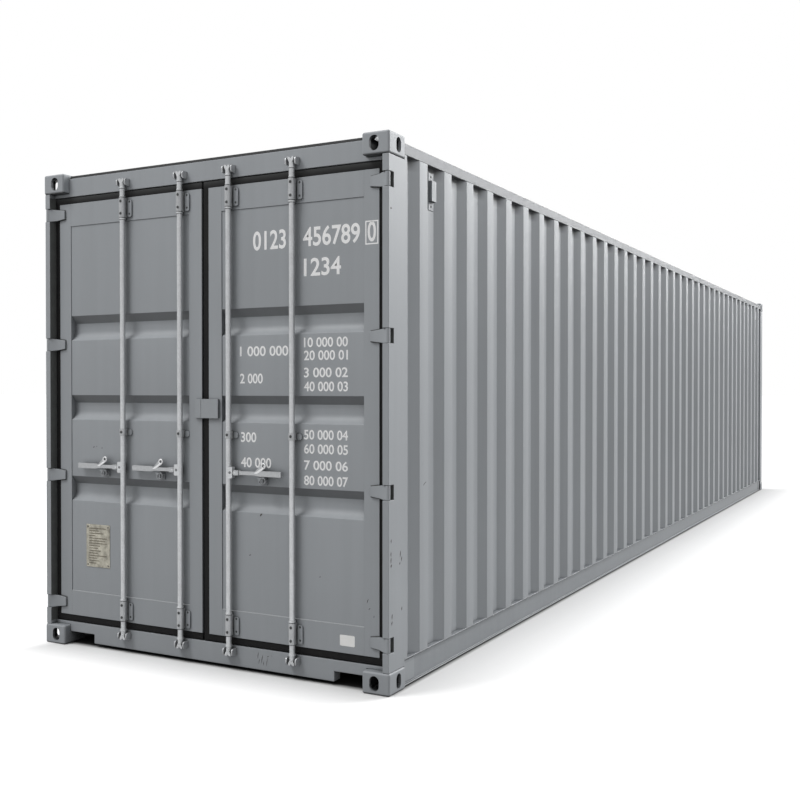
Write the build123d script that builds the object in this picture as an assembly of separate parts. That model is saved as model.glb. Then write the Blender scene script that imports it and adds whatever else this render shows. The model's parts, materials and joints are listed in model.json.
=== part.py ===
from build123d import *
import os

# A 40-foot high-cube freight container in millimetres.
# +Z is up, the doors face -Y, +X is to the right of someone facing the doors.
# The origin is at the bottom centre, on the plane that the corner castings stand on.

# Overall size and how far the frame stays inside the castings' outer faces
length = 12192.0
width = 2438.0
height = 2896.0
frame_inset = 5.0
cut_overrun = 20.0

# Corner castings
casting_length = 178.0
casting_width = 162.0
casting_height = 118.0
casting_side_wall = 18.0
casting_flat_wall = 28.0
casting_round = 12.0
slot_length = 124.0
slot_width = 63.5
slot_inset_x = 89.5
slot_inset_y = 103.5
end_hole_width = 56.0
side_hole_width = 51.0
hole_height = 79.0

# Rear posts: the front strip, the seat behind the leaf and the strip past the casting
post_strip = 38.0
post_seat = 48.0
post_seat_depth = 111.0
post_tail = 31.0

# Front posts, L-shaped
front_post_side = 38.0
front_post_reach = 114.0
front_post_depth = 46.0

# Door header and sill, both level with the leaves' outer face
leaf_recess = 49.0
header_strip = 20.0
header_drop = 26.0
sill_bottom = 21.0
sill_strip = 19.0
sill_notch_width = 198.0
sill_notch_height = 55.0

# Front top rail and front sill
front_rail_depth = 46.0

# Side rails
top_rail_size = 60.0
top_rail_drop = 33.0
bottom_rail_low = 12.0
bottom_rail_step = 18.0
bottom_rail_flange = 38.0
bottom_rail_flange_wall = 6.0
bottom_rail_web = 6.0
bottom_rail_recess = 16.0

# Corrugated sheets
sheet = 2.0
side_rib_spacing = 307.0
side_rib_margin = 353.0
side_rib_crest = 94.0
side_rib_slope = 68.0
side_rib_depth = 36.0
front_rib_spacing = 244.0
front_rib_margin = 70.0
front_rib_crest = 110.0
front_rib_slope = 22.0
front_rib_depth = 40.0
roof_rib_spacing = 228.0
roof_rib_margin = 90.0
roof_rib_crest = 96.0
roof_rib_slope = 18.0
roof_rib_depth = 20.0

# Floor and its cross members
floor_thickness = 28.0
floor_gap = 1.0
cross_member_spacing = 315.0
cross_member_height = 98.0
cross_member_width = 45.0
cross_member_wall = 5.0
cross_member_margin = 260.0

# Side vents, one in the hollow next to the outermost rib at each end of each side: a plate and a cover
vent_width = 64.0
vent_plate = 4.0
vent_height = 208.0
vent_drop = 26.0
vent_cover_width = 56.0
vent_cover_depth = 20.0
vent_cover_height = 115.0
vent_cover_drop = 45.0
vent_cover_wall = 3.0

# Door leaves
leaf_gap = 50.0
leaf_post_gap = 41.0
leaf_sill_gap = 44.0
leaf_header_gap = 43.0
leaf_depth = 50.0
outer_stile = 92.0
inner_stile = 92.0
top_leaf_rail = 138.0
bottom_leaf_rail = 147.0
panel_recess = 4.0
swage_place_shares = (0.2833, 0.505, 0.7213)
swage_height = 150.0
swage_floor = 56.0
swage_depth = 36.0

# Door gaskets
gasket_gap = 5.0
gasket_recess = 4.0
gasket_depth = 50.0
centre_gasket = 39.0

# Hinges
hinge_place_shares = (0.0304, 0.3406, 0.6582, 0.9743)
knuckle_radius = 13.0
pin_radius = 8.0
pin_clearance = 0.3
blade_root_height = 76.0
blade_tip_height = 52.0
blade_reach = 116.0
blade_thickness = 12.0
blade_flat = 55.0
hinge_end_gap = 1.0
hinge_notch_depth = 54.0

# Locking bars with their cam heads and collars
left_near_bar = 164.0
right_near_bar = 183.0
left_far_bar = 598.0
right_far_bar = 609.0
bar_radius = 14.0
bar_standoff = 26.0
bar_sill_lap = 54.0
bar_header_lap = 65.0
cam_radius = 21.0
cam_neck = 11.0
cam_thickness = 24.0
cam_height = 55.0
collar_height = 14.0

# Cam keepers: two ears beside each cam head
keeper_gap = 5.0
keeper_ear = 9.0
keeper_reach = 43.0
keeper_height = 59.0
keeper_bevel = 14.0

# Brackets that carry the bars
bracket_wall = 6.5
bracket_clearance = 0.5
bracket_height = 116.0
bracket_edge = 16.5
bracket_end_gap = 0.5
flange_reach = 55.0
flange_strip = 31.0
flange_thickness = 5.0
flange_strip_thickness = 9.0
guide_height = 40.0
guide_reach = 48.0
guide_centre = 1320.0

# Handles, their hubs and their retainers
handle_height = 1110.0
hub_reach = 34.0
hub_half_height = 32.0
hub_half_thickness = 14.0
pivot_reach = 50.0
tongue_radius = 14.0
tongue_thickness = 12.0
pivot_radius = 6.0
pivot_clearance = 0.15
cheek_gap = 0.3
cheek_thickness = 6.0
fork_length = 24.0
fork_gap = 4.0
neck_half_height = 10.0
neck_end = 185.0
grip_start = 215.0
grip_end = 356.0
grip_half_height = 15.0
handle_thickness = 14.0
lug_foot = 190.0
lug_lean = 52.0
lug_rise = 62.0
lug_width = 30.0
lug_thickness = 8.0
lug_hole = 7.0
lug_bevel = 12.0
lug_hole_drop = 18.0
retainer_lean = 35.0
retainer_width = 44.0
retainer_plate = 6.0
retainer_gap = 12.0
retainer_shelf = 8.0
retainer_depth = 40.0
retainer_drop = 32.0
retainer_loop_radius = 14.0
retainer_loop_hole = 8.0
retainer_loop_thickness = 8.0

# Plates on the leaves
data_plate_inset = 120.0
data_plate_width = 191.0
data_plate_low = 490.0
data_plate_height = 260.0
data_plate_thickness = 3.0
seal_plate_overhang = 45.0
seal_plate_width = 120.0
seal_plate_low = 1410.0
seal_plate_height = 109.0
seal_plate_thickness = 6.0
seal_plate_standoff = 10.0
seal_foot_inset = 17.0
seal_foot_width = 56.0

# Places worked out from the sizes above
half_width = width / 2
half_length = length / 2
frame_side = half_width - frame_inset
frame_end = half_length - frame_inset
casting_inner_x = half_width - casting_width
casting_inner_y = half_length - casting_length
top_casting_bottom = height - casting_height
leaf_face = -half_length + leaf_recess
strip_inner = frame_side - post_strip
seat_inner = frame_side - post_seat
seat_face = -half_length + post_seat_depth
post_rear = -casting_inner_y + post_tail
header_bottom = top_casting_bottom - header_strip
header_top = height - header_drop
sill_top = casting_height + sill_strip
bottom_rail_high = sill_top + bottom_rail_step
floor_low = casting_height + floor_gap
top_rail_high = height - top_rail_drop
top_rail_low = top_rail_high - top_rail_size
rail_inner = frame_side - bottom_rail_flange
web_outer = frame_side - bottom_rail_recess
web_inner = web_outer - bottom_rail_web
wall_hollow = frame_side - side_rib_depth
leaf_inner = leaf_gap / 2
leaf_outer = strip_inner - leaf_post_gap
leaf_low = sill_top + leaf_sill_gap
leaf_high = header_bottom - leaf_header_gap
leaf_back = leaf_face + leaf_depth
panel_face = leaf_face + panel_recess
panel_low = leaf_low + bottom_leaf_rail
panel_high = leaf_high - top_leaf_rail
panel_outer = leaf_outer - outer_stile
panel_inner = leaf_inner + inner_stile
pin_x = frame_side - knuckle_radius
pin_y = -frame_end + knuckle_radius
hinge_centres = [leaf_low + share * (leaf_high - leaf_low) for share in hinge_place_shares]
hinge_notch_height = blade_root_height + 2 * hinge_end_gap
swage_centres = [panel_low + share * (panel_high - panel_low) for share in swage_place_shares]
bar_y = leaf_face - bar_standoff
bar_low = sill_top - bar_sill_lap
bar_high = header_bottom + bar_header_lap
bar_places = {"1": -left_far_bar, "2": -left_near_bar, "3": right_near_bar, "4": right_far_bar}
left_bars = ("1", "2")
right_bars = ("3", "4")
bars_with_handles = ("1", "2", "3")


# Shape helpers

def block(x_low, x_high, y_low, y_high, z_low, z_high):
    centre = Pos((x_low + x_high) / 2, (y_low + y_high) / 2, (z_low + z_high) / 2)
    return centre * Box(x_high - x_low, y_high - y_low, z_high - z_low)


def along_x(outline, low, high):
    face = make_face(Polyline(*[(low, y, z) for y, z in outline], close=True))
    return extrude(face, amount=high - low, dir=(1, 0, 0))


def along_y(outline, low, high):
    face = make_face(Polyline(*[(x, low, z) for x, z in outline], close=True))
    return extrude(face, amount=high - low, dir=(0, 1, 0))


def along_z(outline, low, high):
    face = make_face(Polyline(*[(x, y, low) for x, y in outline], close=True))
    return extrude(face, amount=high - low, dir=(0, 0, 1))


def upright_rod(x, y, radius, low, high):
    return Pos(x, y, (low + high) / 2) * Cylinder(radius, high - low)


def cross_rod(x, z, radius, low, high):
    return Pos(x, (low + high) / 2, z) * Rot(90, 0, 0) * Cylinder(radius, high - low)


def other_side(piece):
    return mirror(piece, about=Plane.YZ)


def upside_down(piece, level):
    return mirror(piece, about=Plane.XY.offset(level))


def save(name, *pieces):
    solids = [solid for piece in pieces for solid in piece.solids()]
    export_step(Compound(solids), os.path.join("parts", name + ".step"))


# Line of a trapezoid sheet, from low to high, with a hollow at both ends and its crests at the starts.
# Each point is a place along the sheet and a height over the hollows.
def rib_line(low, high, starts, crest, slope, depth):
    points = [(low, 0)]
    for start in starts:
        points += [(start - slope, 0), (start, depth), (start + crest, depth), (start + crest + slope, 0)]
    return points + [(high, 0)]


# Starts of like pieces of one width that stand about a spacing apart, the outermost a margin from both ends
def even_starts(low, high, margin, width_of_one, spacing):
    span = high - low - 2 * margin - width_of_one
    gaps = round(span / spacing)
    return [low + margin + index * span / gaps for index in range(gaps + 1)]


# Closed outline of a sheet: its outer line and, one sheet thickness inside it, its inner line
def sheet_outline(line):
    inside = [(place, rise - sheet) for place, rise in reversed(line)]
    return line + inside


# Corner castings: a hollow block with a slot in its flat face, an end hole and a side hole.
# The one at +X, -Y, bottom is made, and the others mirror it.
def corner_casting():
    outside = block(casting_inner_x, half_width, -half_length, -casting_inner_y, 0, casting_height)
    outside = fillet(outside.edges(), casting_round)
    inside = block(
        casting_inner_x + casting_side_wall, half_width - casting_side_wall,
        -half_length + casting_side_wall, -casting_inner_y - casting_side_wall,
        casting_flat_wall, casting_height - casting_flat_wall)
    slot_x = half_width - slot_inset_x
    slot_y = -half_length + slot_inset_y
    middle = casting_height / 2
    slot_plane = Plane(origin=(slot_x, slot_y, -cut_overrun), x_dir=(0, 1, 0), z_dir=(0, 0, 1))
    slot = extrude(slot_plane * SlotOverall(slot_length, slot_width), amount=cut_overrun + middle)
    end_plane = Plane(
        origin=(slot_x, -half_length - cut_overrun, middle), x_dir=(0, 0, 1), z_dir=(0, 1, 0))
    end_depth = cut_overrun + slot_inset_y
    end_hole = extrude(end_plane * SlotOverall(hole_height, end_hole_width), amount=end_depth)
    side_plane = Plane(
        origin=(half_width + cut_overrun, slot_y, middle), x_dir=(0, 0, 1), z_dir=(-1, 0, 0))
    side_depth = cut_overrun + slot_inset_x
    side_hole = extrude(side_plane * SlotOverall(hole_height, side_hole_width), amount=side_depth)
    return outside - inside - slot - end_hole - side_hole


def casting_set():
    near_right = corner_casting()
    far_right = mirror(near_right, about=Plane.XZ)
    right = [near_right, far_right]
    return right + [other_side(piece) for piece in right]


# Rear post on the right, with a notch at each hinge
def rear_post():
    section = [
        (frame_side, -frame_end), (frame_side, -casting_inner_y), (seat_inner, -casting_inner_y),
        (seat_inner, seat_face), (strip_inner, seat_face), (strip_inner, -frame_end)]
    post = along_z(section, casting_height, top_casting_bottom)
    post += block(seat_inner, frame_side, -casting_inner_y, post_rear, bottom_rail_high, top_rail_low)
    for centre in hinge_centres:
        post -= block(
            strip_inner - cut_overrun, frame_side + cut_overrun,
            -frame_end - cut_overrun, -frame_end + hinge_notch_depth,
            centre - hinge_notch_height / 2, centre + hinge_notch_height / 2)
    return post


def front_post():
    section = [
        (frame_side, casting_inner_y), (frame_side, frame_end), (frame_side - front_post_reach, frame_end),
        (frame_side - front_post_reach, frame_end - front_post_depth),
        (frame_side - front_post_side, frame_end - front_post_depth),
        (frame_side - front_post_side, casting_inner_y)]
    return along_z(section, casting_height, top_casting_bottom)


# End frames: each is a strip between the posts and a block between the castings
def door_header():
    strip = block(-strip_inner, strip_inner, leaf_face, seat_face, header_bottom, top_casting_bottom)
    beam = block(
        -casting_inner_x, casting_inner_x, leaf_face, -casting_inner_y, top_casting_bottom, header_top)
    return strip + beam


def door_sill():
    notch_top = sill_bottom + sill_notch_height
    beam_half = casting_inner_x - sill_notch_width
    outline = [
        (-strip_inner, sill_top), (strip_inner, sill_top), (strip_inner, casting_height),
        (casting_inner_x, casting_height), (casting_inner_x, notch_top), (beam_half, notch_top),
        (beam_half, sill_bottom), (-beam_half, sill_bottom), (-beam_half, notch_top),
        (-casting_inner_x, notch_top), (-casting_inner_x, casting_height), (-strip_inner, casting_height)]
    return along_y(outline, leaf_face, seat_face)


front_strip_half = frame_side - front_post_reach


def front_top_rail():
    strip = block(
        -front_strip_half, front_strip_half, frame_end - front_rail_depth, frame_end,
        header_bottom, top_casting_bottom)
    beam = block(
        -casting_inner_x, casting_inner_x, casting_inner_y, frame_end, top_casting_bottom, header_top)
    return strip + beam


def front_sill():
    outline = [
        (-front_strip_half, sill_top), (front_strip_half, sill_top), (front_strip_half, casting_height),
        (casting_inner_x, casting_height), (casting_inner_x, sill_bottom), (-casting_inner_x, sill_bottom),
        (-casting_inner_x, casting_height), (-front_strip_half, casting_height)]
    return along_y(outline, frame_end - front_rail_depth, frame_end)


# Side rails on the right
def top_side_rail():
    return block(
        frame_side - top_rail_size, frame_side, -casting_inner_y, casting_inner_y,
        top_rail_low, top_rail_high)


def bottom_side_rail():
    inside_top = bottom_rail_high - bottom_rail_flange_wall
    inside_low = bottom_rail_low + bottom_rail_flange_wall
    outline = [
        (rail_inner, bottom_rail_high), (frame_side, bottom_rail_high), (frame_side, inside_top),
        (web_outer, inside_top), (web_outer, inside_low), (frame_side, inside_low),
        (frame_side, bottom_rail_low), (rail_inner, bottom_rail_low), (rail_inner, inside_low),
        (web_inner, inside_low), (web_inner, inside_top), (rail_inner, inside_top)]
    return along_y(outline, -casting_inner_y, casting_inner_y)


# Corrugated sheets
side_rib_starts = even_starts(-half_length, half_length, side_rib_margin, side_rib_crest, side_rib_spacing)


def side_wall():
    line = rib_line(
        post_rear, casting_inner_y, side_rib_starts, side_rib_crest, side_rib_slope, side_rib_depth)
    outline = [(wall_hollow + rise, place) for place, rise in sheet_outline(line)]
    return along_z(outline, bottom_rail_high, top_rail_low)


def front_wall():
    edge = front_strip_half
    starts = even_starts(-edge, edge, front_rib_margin, front_rib_crest, front_rib_spacing)
    line = rib_line(-edge, edge, starts, front_rib_crest, front_rib_slope, front_rib_depth)
    outline = [(place, frame_end - front_rib_depth + rise) for place, rise in sheet_outline(line)]
    return along_z(outline, sill_top, header_bottom)


def roof():
    edge = casting_inner_y
    starts = even_starts(-edge, edge, roof_rib_margin, roof_rib_crest, roof_rib_spacing)
    line = rib_line(-edge, edge, starts, roof_rib_crest, roof_rib_slope, roof_rib_depth)
    outline = [(place, top_rail_high - roof_rib_depth + rise) for place, rise in sheet_outline(line)]
    roof_half = frame_side - top_rail_size
    return along_x(outline, -roof_half, roof_half)


# Floor and cross members
def floor():
    return block(
        -seat_inner, seat_inner, seat_face, frame_end - front_rail_depth,
        floor_low, floor_low + floor_thickness)


def cross_member(place):
    high = floor_low
    low = high - cross_member_height
    inner_low = low + cross_member_wall
    inner_high = high - cross_member_wall
    web = place + cross_member_wall
    edge = place + cross_member_width
    outline = [
        (place, low), (edge, low), (edge, inner_low), (web, inner_low),
        (web, inner_high), (edge, inner_high), (edge, high), (place, high)]
    return along_x(outline, -web_inner, web_inner)


def cross_members():
    starts = even_starts(
        -half_length, half_length, cross_member_margin, cross_member_width, cross_member_spacing)
    return [cross_member(start) for start in starts]


# Side vents on the right: a plate on the wall's hollow with a hollow cover that is open at its bottom
def side_vents():
    centre = (side_rib_starts[0] + side_rib_starts[1] + side_rib_crest) / 2
    vent_high = top_rail_low - vent_drop
    cover_high = vent_high - vent_cover_drop
    cover_low = cover_high - vent_cover_height
    cover_half = vent_cover_width / 2
    inner_half = cover_half - vent_cover_wall
    plate_face = wall_hollow + vent_plate
    cover_face = plate_face + vent_cover_depth
    near = block(
        wall_hollow, plate_face, centre - vent_width / 2, centre + vent_width / 2,
        vent_high - vent_height, vent_high)
    near += block(wall_hollow, cover_face, centre - cover_half, centre + cover_half, cover_low, cover_high)
    near -= block(
        plate_face, cover_face - vent_cover_wall, centre - inner_half, centre + inner_half,
        cover_low - cut_overrun, cover_high - vent_cover_wall)
    return [near, mirror(near, about=Plane.XZ)]


# Hinges on the right: the pins stand in the post's notches, the blades carry the leaf
def hinge_pins():
    half = hinge_notch_height / 2
    return [upright_rod(pin_x, pin_y, pin_radius, centre - half, centre + half) for centre in hinge_centres]


def hinge_blade(centre):
    tip = pin_x - blade_reach
    flat_end = tip + blade_flat
    section = [
        (tip, leaf_face), (tip, leaf_face - blade_thickness), (flat_end, leaf_face - blade_thickness),
        (pin_x, pin_y - knuckle_radius), (pin_x, pin_y + knuckle_radius), (leaf_outer, leaf_face)]
    half_root = blade_root_height / 2
    half_tip = blade_tip_height / 2
    strap = along_z(section, centre - half_root, centre + half_root)
    root_end = pin_x + knuckle_radius
    face_outline = [
        (tip, centre - half_tip), (strip_inner, centre - half_root), (root_end, centre - half_root),
        (root_end, centre + half_root), (strip_inner, centre + half_root), (tip, centre + half_tip)]
    strap = strap & along_y(face_outline, -half_length, leaf_face)
    knuckle = upright_rod(pin_x, pin_y, knuckle_radius, centre - half_root, centre + half_root)
    hole_half = half_root + cut_overrun
    hole = upright_rod(pin_x, pin_y, pin_radius + pin_clearance, centre - hole_half, centre + hole_half)
    return strap + knuckle - hole


# Door leaf pieces on the right
def leaf_stiles():
    outer = block(panel_outer, leaf_outer, leaf_face, leaf_back, leaf_low, leaf_high)
    inner = block(leaf_inner, panel_inner, leaf_face, leaf_back, leaf_low, leaf_high)
    return [outer, inner]


def leaf_rails():
    low = block(panel_inner, panel_outer, leaf_face, leaf_back, leaf_low, panel_low)
    high = block(panel_inner, panel_outer, leaf_face, leaf_back, panel_high, leaf_high)
    return [low, high]


def leaf_panel():
    line = [(panel_low, 0)]
    for centre in swage_centres:
        line += [
            (centre - swage_height / 2, 0), (centre - swage_floor / 2, -swage_depth),
            (centre + swage_floor / 2, -swage_depth), (centre + swage_height / 2, 0)]
    line += [(panel_high, 0)]
    outline = [(panel_face - rise, place) for place, rise in sheet_outline(line)]
    return along_x(outline, panel_inner, panel_outer)


# Gasket round a leaf. The right leaf also carries the strip that closes the centre gap.
def leaf_gasket(inner_edge):
    front = leaf_face + gasket_recess
    back = front + gasket_depth
    outer = block(
        inner_edge, strip_inner - gasket_gap, front, back, sill_top + gasket_gap, header_bottom - gasket_gap)
    leaf = block(
        leaf_inner, leaf_outer, front - cut_overrun, back + cut_overrun, leaf_low, leaf_high)
    return outer - leaf


# Bar brackets: a sleeve round the bar, its seat, and a flange level with the leaf's face to the bar's right
def bar_bracket(bar_x, seat, reach, low, high):
    outer_radius = bar_radius + bracket_clearance + bracket_wall
    sleeve = upright_rod(bar_x, bar_y, outer_radius, low, high)
    sleeve += block(bar_x - outer_radius, bar_x + outer_radius, bar_y, seat, low, high)
    sleeve += block(bar_x, bar_x + reach, leaf_face - flange_thickness, leaf_face, low, high)
    end = bar_x + reach
    sleeve += block(end - flange_strip, end, leaf_face - flange_strip_thickness, leaf_face, low, high)
    bore_radius = bar_radius + bracket_clearance
    return sleeve - upright_rod(bar_x, bar_y, bore_radius, low - cut_overrun, high + cut_overrun)


def bar_brackets(bars):
    pieces = []
    low_end = panel_low - bracket_edge
    high_start = panel_high + bracket_edge
    for bar in bars:
        bar_x = bar_places[bar]
        pieces.append(bar_bracket(bar_x, leaf_face, flange_reach, low_end - bracket_height, low_end))
        pieces.append(bar_bracket(bar_x, leaf_face, flange_reach, high_start, high_start + bracket_height))
        pieces.append(bar_bracket(
            bar_x, panel_face, guide_reach, guide_centre - guide_height / 2, guide_centre + guide_height / 2))
    return pieces


# Locking bars: the cam heads flare towards both ends, and collars sit over the brackets
def cam_head(bar_x):
    low = bar_high - cam_height
    outline = [
        (bar_x - cam_neck, low), (bar_x + cam_neck, low), (bar_x + cam_radius, bar_high),
        (bar_x - cam_radius, bar_high)]
    wedge = along_y(outline, bar_y - cam_thickness / 2, bar_y + cam_thickness / 2)
    wedge = wedge & upright_rod(bar_x, bar_y, cam_radius, low, bar_high)
    return wedge + upright_rod(bar_x, bar_y, cam_radius, low - collar_height, low)


def locking_bar(bar):
    bar_x = bar_places[bar]
    shaft_low = bar_low + cam_height
    shaft_high = bar_high - cam_height
    rod = upright_rod(bar_x, bar_y, bar_radius, shaft_low, shaft_high)
    head = cam_head(bar_x)
    rod += head
    rod += upside_down(head, (bar_low + bar_high) / 2)
    over_low_bracket = panel_low - bracket_edge + bracket_end_gap
    over_high_bracket = panel_high + bracket_edge + bracket_height + bracket_end_gap
    for level in (over_low_bracket, over_high_bracket):
        rod += upright_rod(bar_x, bar_y, cam_radius, level, level + collar_height)
    if bar in bars_with_handles:
        rod += handle_hub(bar)
    return rod


# Handles point away from the centre gap on the left leaf, and to the right on the right leaf
def handle_side(bar):
    return 1 if bar in right_bars else -1


def handle_hub(bar):
    half_tongue = tongue_thickness / 2
    pin_half = half_tongue + cheek_gap + cheek_thickness
    hub = block(
        0, hub_reach, bar_y - hub_half_thickness, bar_y + hub_half_thickness,
        handle_height - hub_half_height, handle_height + hub_half_height)
    hub += block(
        0, pivot_reach, bar_y - half_tongue, bar_y + half_tongue,
        handle_height - tongue_radius, handle_height + tongue_radius)
    hub += cross_rod(pivot_reach, handle_height, tongue_radius, bar_y - half_tongue, bar_y + half_tongue)
    hub += cross_rod(pivot_reach, handle_height, pivot_radius, bar_y - pin_half, bar_y + pin_half)
    return place_on_bar(hub, bar)


# A piece made for a bar at X = 0 with its handle towards +X goes to its own bar
def place_on_bar(piece, bar):
    turned = piece if handle_side(bar) > 0 else other_side(piece)
    return Pos(bar_places[bar], 0, 0) * turned


def handle(bar):
    inner = tongue_thickness / 2 + cheek_gap
    fork_end = pivot_reach + tongue_radius + fork_gap
    cheek_end = pivot_reach + fork_length
    z = handle_height
    outline = [
        (fork_end, z - neck_half_height), (neck_end, z - neck_half_height),
        (grip_start, z - grip_half_height), (grip_end, z - grip_half_height),
        (grip_end, z + grip_half_height), (grip_start, z + grip_half_height),
        (neck_end, z + neck_half_height), (fork_end, z + neck_half_height)]
    lever = along_y(outline, bar_y - handle_thickness / 2, bar_y + handle_thickness / 2)
    for side in (-1, 1):
        cheek_low = bar_y + min(side * inner, side * (inner + cheek_thickness))
        cheek_high = cheek_low + cheek_thickness
        lever += cross_rod(pivot_reach, z, tongue_radius, cheek_low, cheek_high)
        lever += block(pivot_reach, cheek_end, cheek_low, cheek_high, z - tongue_radius, z + tongue_radius)
    pin_hole_half = inner + cheek_thickness + cut_overrun
    lever -= cross_rod(
        pivot_reach, z, pivot_radius + pivot_clearance, bar_y - pin_hole_half, bar_y + pin_hole_half)
    lug_top = lug_foot + handle_side(bar) * lug_lean
    lug_half = lug_width / 2
    lug_outline = [
        (lug_foot - lug_half, z), (lug_foot + lug_half, z), (lug_top + lug_half, z + lug_rise - lug_bevel),
        (lug_top + lug_half - lug_bevel, z + lug_rise), (lug_top - lug_half + lug_bevel, z + lug_rise),
        (lug_top - lug_half, z + lug_rise - lug_bevel)]
    lug_front = bar_y - handle_thickness / 2
    lug_back = lug_front + lug_thickness
    lug = along_y(lug_outline, lug_front, lug_back)
    lug -= cross_rod(
        lug_top, z + lug_rise - lug_hole_drop, lug_hole,
        lug_front - cut_overrun, lug_back + cut_overrun)
    return place_on_bar(lever + lug, bar)


# Retainer under a handle: a plate on the leaf, a shelf and a loop for a padlock
def handle_retainer(bar):
    retainer_reach = lug_foot + handle_side(bar) * retainer_lean
    low_x = retainer_reach - retainer_width / 2
    high_x = retainer_reach + retainer_width / 2
    shelf_top = handle_height - neck_half_height - retainer_gap
    shelf_low = shelf_top - retainer_shelf
    plate_low = shelf_low - retainer_drop
    piece = block(low_x, high_x, panel_face - retainer_plate, panel_face, plate_low, shelf_top)
    piece += block(low_x, high_x, panel_face - retainer_depth, panel_face, shelf_low, shelf_top)
    loop_z = shelf_low - retainer_loop_radius
    loop_back = panel_face - retainer_depth + retainer_loop_thickness
    loop = cross_rod(
        retainer_reach, loop_z, retainer_loop_radius, panel_face - retainer_depth, loop_back)
    loop += block(
        retainer_reach - retainer_loop_radius, retainer_reach + retainer_loop_radius,
        panel_face - retainer_depth, loop_back, loop_z, shelf_low)
    loop -= cross_rod(
        retainer_reach, loop_z, retainer_loop_hole, panel_face - retainer_depth - cut_overrun, panel_face)
    return place_on_bar(piece + loop, bar)


# Cam keepers: a pair of ears beside each cam head, on the header and on the sill
def keeper_ears(bar_x):
    low = bar_high - keeper_height
    front = leaf_face - keeper_reach
    outline = [
        (leaf_face, low), (front + keeper_bevel, low), (front, low + keeper_bevel),
        (front, bar_high - keeper_bevel), (front + keeper_bevel, bar_high), (leaf_face, bar_high)]
    inner = cam_radius + keeper_gap
    right = along_x(outline, bar_x + inner, bar_x + inner + keeper_ear)
    left = along_x(outline, bar_x - inner - keeper_ear, bar_x - inner)
    return [left, right]


def cam_keepers():
    top = [ear for bar_x in bar_places.values() for ear in keeper_ears(bar_x)]
    bottom = [upside_down(ear, (bar_low + bar_high) / 2) for ear in top]
    return top + bottom


# Plates on the leaves
def data_plate():
    left = -panel_outer + data_plate_inset
    return block(
        left, left + data_plate_width, panel_face - data_plate_thickness, panel_face,
        data_plate_low, data_plate_low + data_plate_height)


def seal_plate():
    plate_back = leaf_face - seal_plate_standoff
    plate_left = leaf_inner - seal_plate_overhang
    plate_high = seal_plate_low + seal_plate_height
    foot_left = leaf_inner + seal_foot_inset
    plate = block(
        plate_left, plate_left + seal_plate_width, plate_back - seal_plate_thickness, plate_back,
        seal_plate_low, plate_high)
    foot = block(foot_left, foot_left + seal_foot_width, plate_back, leaf_face, seal_plate_low, plate_high)
    return plate + foot


# Both leaves are made alike, the left one as a mirror image
def save_leaf(name, turn, bars, centre_edge):
    save(name + "_stiles", *[turn(piece) for piece in leaf_stiles()])
    save(name + "_rails", *[turn(piece) for piece in leaf_rails()])
    save(name + "_panel", turn(leaf_panel()))
    save(name + "_gasket", turn(leaf_gasket(centre_edge)))
    save(name + "_hinge_blades", *[turn(hinge_blade(centre)) for centre in hinge_centres])
    save(name + "_bar_brackets", *bar_brackets(bars))
    holders = [bar for bar in bars if bar in bars_with_handles]
    save(name + "_handle_retainers", *[handle_retainer(bar) for bar in holders])


def as_made(piece):
    return piece


def save_pair(name, piece):
    save(name + "_right", piece)
    save(name + "_left", other_side(piece))


os.makedirs("parts", exist_ok=True)

bottom_castings = casting_set()
save("bottom_corner_castings", *bottom_castings)
save("top_corner_castings", *[upside_down(piece, height / 2) for piece in bottom_castings])
save_pair("rear_post", rear_post())
right_front_post = front_post()
save("front_posts", right_front_post, other_side(right_front_post))
save("door_header", door_header())
save("door_sill", door_sill())
save("front_top_rail", front_top_rail())
save("front_sill", front_sill())
save_pair("top_side_rail", top_side_rail())
save_pair("bottom_side_rail", bottom_side_rail())
save_pair("side_wall", side_wall())
save("front_wall", front_wall())
save("roof", roof())
save("floor", floor())
save("cross_members", *cross_members())
right_vents = side_vents()
save("side_vents", *right_vents, *[other_side(piece) for piece in right_vents])
right_pins = hinge_pins()
save("hinge_pins", *right_pins, *[other_side(piece) for piece in right_pins])
save("cam_keepers", *cam_keepers())

save_leaf("right_leaf", as_made, right_bars, leaf_inner - centre_gasket)
save_leaf("left_leaf", other_side, left_bars, leaf_inner)
save("left_leaf_data_plate", data_plate())
save("right_leaf_seal_plate", seal_plate())

for bar in bar_places:
    save("locking_bar_" + bar, locking_bar(bar))
for bar in bars_with_handles:
    save("bar_handle_" + bar, handle(bar))
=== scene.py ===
import json
import math

import bmesh
import bpy
from mathutils import Matrix, Vector


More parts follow.
